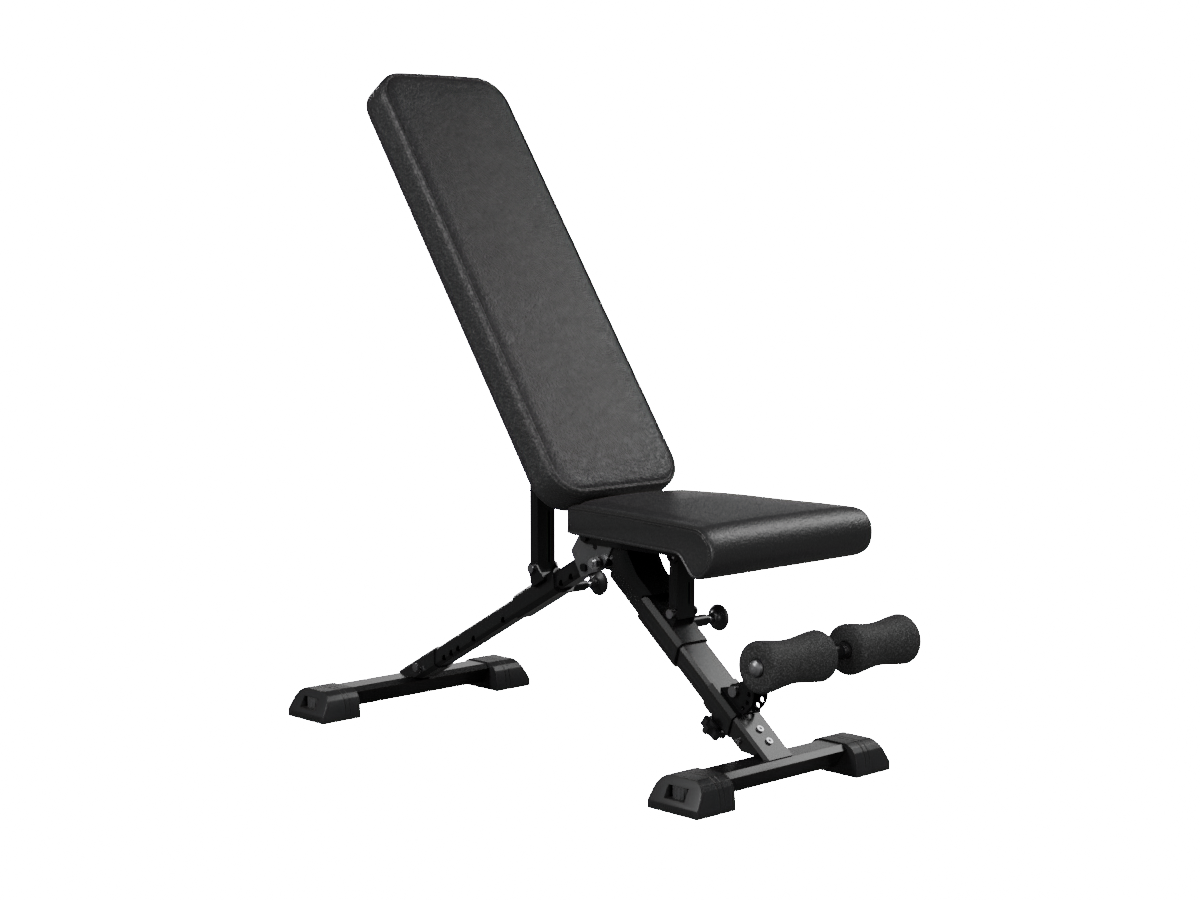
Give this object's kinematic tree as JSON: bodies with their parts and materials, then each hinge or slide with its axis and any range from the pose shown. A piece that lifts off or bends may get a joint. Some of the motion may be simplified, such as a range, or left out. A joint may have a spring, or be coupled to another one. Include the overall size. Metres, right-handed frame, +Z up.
{
  "type": "adjustable weight bench",
  "caption": "Folding weight bench with a padded seat and backrest, each propped by a strut on a locking sleeve, and a foam leg roller on an adjustable arm.",
  "frame": {"origin": "centre of the bounding box in X and Y, on the floor under the feet", "axes": "+Z up, -Y the end with the leg roller, +X the left of a person sitting on the bench and facing -Y"},
  "size_m": [0.485, 1.0976, 1.1363],
  "materials": {
    "frame_coat": "gloss",
    "hub_coat": "satin",
    "bright_steel": "brushed",
    "dark_fastener": "satin",
    "steel_fastener": "satin",
    "black_plastic": "matte",
    "grey_plastic": "matte",
    "upholstery": "satin grained",
    "roller_foam": "matte foam",
    "board": "matte"
  },
  "bodies": {
    "front_frame": {"front_foot_tube": "frame_coat", "front_cap_right": "black_plastic", "front_cap_left": "black_plastic", "front_post": "frame_coat", "front_post_screws": "steel_fastener", "front_post_gusset": "frame_coat", "hub_plate_right": "hub_coat", "hub_plate_left": "hub_coat", "main_pivot_bolt": "bright_steel", "main_pivot_spacers": "black_plastic", "backrest_pivot_rod": "dark_fastener", "hub_stub_bolts": "dark_fastener"},
    "front_wheel_right": {"front_wheel_right": "grey_plastic"},
    "front_wheel_left": {"front_wheel_left": "grey_plastic"},
    "rear_wheel_right": {"rear_wheel_right": "grey_plastic"},
    "rear_wheel_left": {"rear_wheel_left": "grey_plastic"},
    "seat_slider": {"seat_sleeve": "frame_coat", "seat_sleeve_liners": "black_plastic", "seat_pin_housing": "frame_coat", "seat_pin_spring": "bright_steel", "seat_prop_bolt": "steel_fastener"},
    "seat_lock": {"seat_pin": "bright_steel", "seat_pin_knob": "black_plastic"},
    "seat_prop": {"seat_prop": "frame_coat", "seat_prop_top_pin": "bright_steel"},
    "seat": {"seat_rail_right": "frame_coat", "seat_rail_left": "frame_coat", "seat_cross_plates": "frame_coat", "seat_board": "board", "seat_cushion": "upholstery"},
    "roller_carriage": {"roller_collar": "frame_coat", "roller_arm_bolt": "steel_fastener"},
    "clamp": {"clamp_knob": "black_plastic"},
    "roller_arm": {"roller_arm": "frame_coat", "roller_axle": "bright_steel", "roller_cores": "black_plastic"},
    "roller_right": {"roller_foam_right": "roller_foam"},
    "roller_left": {"roller_foam_left": "roller_foam"},
    "rear_leg": {"rear_foot_tube": "frame_coat", "rear_cap_right": "black_plastic", "rear_cap_left": "black_plastic", "rear_post": "frame_coat", "rear_post_yoke": "frame_coat", "rear_socket_bolt": "steel_fastener"},
    "rear_slider": {"rear_sleeve": "frame_coat", "rear_sleeve_liners": "black_plastic", "rear_pin_housing": "frame_coat", "rear_pin_spring": "bright_steel", "strut_bolt": "steel_fastener"},
    "rear_lock": {"rear_pin": "bright_steel", "rear_pin_knob": "black_plastic"},
    "strut": {"backrest_strut": "frame_coat", "strut_top_pin": "bright_steel"},
    "backrest": {"back_rail_right": "frame_coat", "back_rail_left": "frame_coat", "back_hinge_plates": "frame_coat", "back_cross_plates": "frame_coat", "back_board": "board", "back_cushion": "upholstery", "pad_screws": "bright_steel"}
  },
  "joints": [
    {"name": "recline", "type": "hinge", "parent": "front_frame", "child": "backrest", "pos_m": [0, -0.0295, 0.3432], "axis": [1, 0, 0], "range_deg": [-50, 8]},
    {"name": "rear_sleeve_slide", "type": "slide", "parent": "rear_leg", "child": "rear_slider", "axis": [0, 0.8756, -0.4831], "range_m": [-0.03796, 0.23724]},
    {"name": "strut_swing", "type": "hinge", "parent": "rear_slider", "child": "strut", "pos_m": [0, 0.1394, 0.2869], "axis": [1, 0, 0], "range_deg": [-7.46, 46.1]},
    {"name": "seat_tilt", "type": "hinge", "parent": "front_frame", "child": "seat", "pos_m": [0, -0.01, 0.358], "axis": [1, 0, 0], "range_deg": [0, 12]},
    {"name": "seat_sleeve_slide", "type": "slide", "parent": "front_frame", "child": "seat_slider", "axis": [0, -0.7725, -0.635], "range_m": [0, 0.04444]},
    {"name": "prop_swing", "type": "hinge", "parent": "seat_slider", "child": "seat_prop", "pos_m": [0, -0.19354, 0.2512], "axis": [1, 0, 0], "range_deg": [-27.22, 0]},
    {"name": "leg_fold", "type": "hinge", "parent": "front_frame", "child": "rear_leg", "pos_m": [0, -0.04, 0.3185], "axis": [1, 0, 0], "range_deg": [-82, 0]},
    {"name": "arm_swing", "type": "hinge", "parent": "roller_carriage", "child": "roller_arm", "pos_m": [0, -0.32646, 0.14518], "axis": [1, 0, 0], "range_deg": [0, 53]},
    {"name": "collar_slide", "type": "slide", "parent": "front_frame", "child": "roller_carriage", "axis": [0, 0.7725, 0.635], "range_m": [-0.015, 0.03]},
    {"name": "clamp_turn", "type": "hinge", "parent": "roller_carriage", "child": "clamp", "pos_m": [0, -0.29443, 0.10937], "axis": [0, 0.635, -0.7725], "continuous": true},
    {"name": "roller_right_spin", "type": "hinge", "parent": "roller_arm", "child": "roller_right", "pos_m": [-0.1, -0.50907, 0.22917], "axis": [1, 0, 0], "continuous": true},
    {"name": "roller_left_spin", "type": "hinge", "parent": "roller_arm", "child": "roller_left", "pos_m": [0.1, -0.50907, 0.22917], "axis": [1, 0, 0], "continuous": true},
    {"name": "seat_pin_pull", "type": "slide", "parent": "seat_slider", "child": "seat_lock", "axis": [1, 0, 0], "range_m": [0, 0.008], "stiffness_N_per_m": 900, "springref_m": -0.008},
    {"name": "rear_pin_pull", "type": "slide", "parent": "rear_slider", "child": "rear_lock", "axis": [1, 0, 0], "range_m": [0, 0.008], "stiffness_N_per_m": 900, "springref_m": -0.008},
    {"name": "front_wheel_right_turn", "type": "hinge", "parent": "front_frame", "child": "front_wheel_right", "pos_m": [-0.1925, -0.391, 0.02], "axis": [0, 0, 1], "continuous": true},
    {"name": "front_wheel_left_turn", "type": "hinge", "parent": "front_frame", "child": "front_wheel_left", "pos_m": [0.1925, -0.391, 0.02], "axis": [0, 0, 1], "continuous": true},
    {"name": "rear_wheel_right_turn", "type": "hinge", "parent": "rear_leg", "child": "rear_wheel_right", "pos_m": [-0.2125, 0.497, 0.02], "axis": [0, 0, 1], "continuous": true},
    {"name": "rear_wheel_left_turn", "type": "hinge", "parent": "rear_leg", "child": "rear_wheel_left", "pos_m": [0.2125, 0.497, 0.02], "axis": [0, 0, 1], "continuous": true}
  ],
  "couplings": [
    {"joint": "rear_sleeve_slide", "follows": "recline", "m_per_rad": -0.27158},
    {"joint": "strut_swing", "follows": "recline", "ratio": -0.92},
    {"joint": "seat_sleeve_slide", "follows": "seat_tilt", "m_per_rad": 0.21199},
    {"joint": "prop_swing", "follows": "seat_tilt", "ratio": -2.26}
  ]
}
